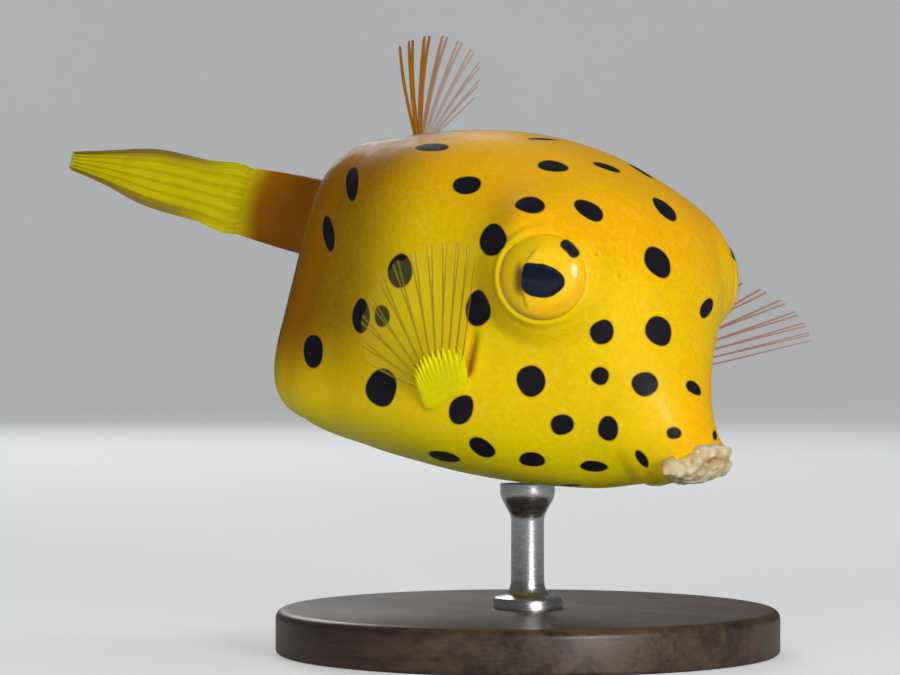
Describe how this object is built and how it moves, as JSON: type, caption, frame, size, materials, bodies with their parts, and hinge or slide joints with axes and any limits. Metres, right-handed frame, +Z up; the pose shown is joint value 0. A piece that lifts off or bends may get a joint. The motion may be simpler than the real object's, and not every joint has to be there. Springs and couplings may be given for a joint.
{
  "type": "yellow boxfish model",
  "caption": "Life-size model of a young yellow boxfish: box-shaped spotted body, bulging eyes, thick lips, rayed fins and a bent tail, held by one rod on a round base.",
  "frame": {"origin": "centre of the stand's underside, on the ground", "axes": "+X towards the fish's snout, +Y to its left, +Z up"},
  "size_m": [0.0674, 0.0471, 0.0569],
  "materials": {
    "skin": "moist yellow skin over bony plates, with round black spots",
    "fin": "thin yellow rays in clear membrane",
    "lip": "cream lumpy flesh",
    "eye": "wet glossy eye, golden iris and blue-black pupil",
    "stand_wood": "dark stained wood, satin",
    "stand_metal": "satin steel"
  },
  "bodies": {
    "root": {"head": "skin", "torso": "skin", "tail_stem": "skin", "pectoral_pad_right": "skin", "pectoral_pad_left": "skin", "caudal_fin": "fin", "dorsal_fin": "fin", "anal_fin": "fin", "pectoral_fin_right": "fin", "pectoral_fin_left": "fin", "lip_upper": "lip", "lip_lower": "lip", "eye_right": "eye", "eye_left": "eye", "stand_base": "stand_wood", "stand_rod": "stand_metal"}
  },
  "joints": []
}
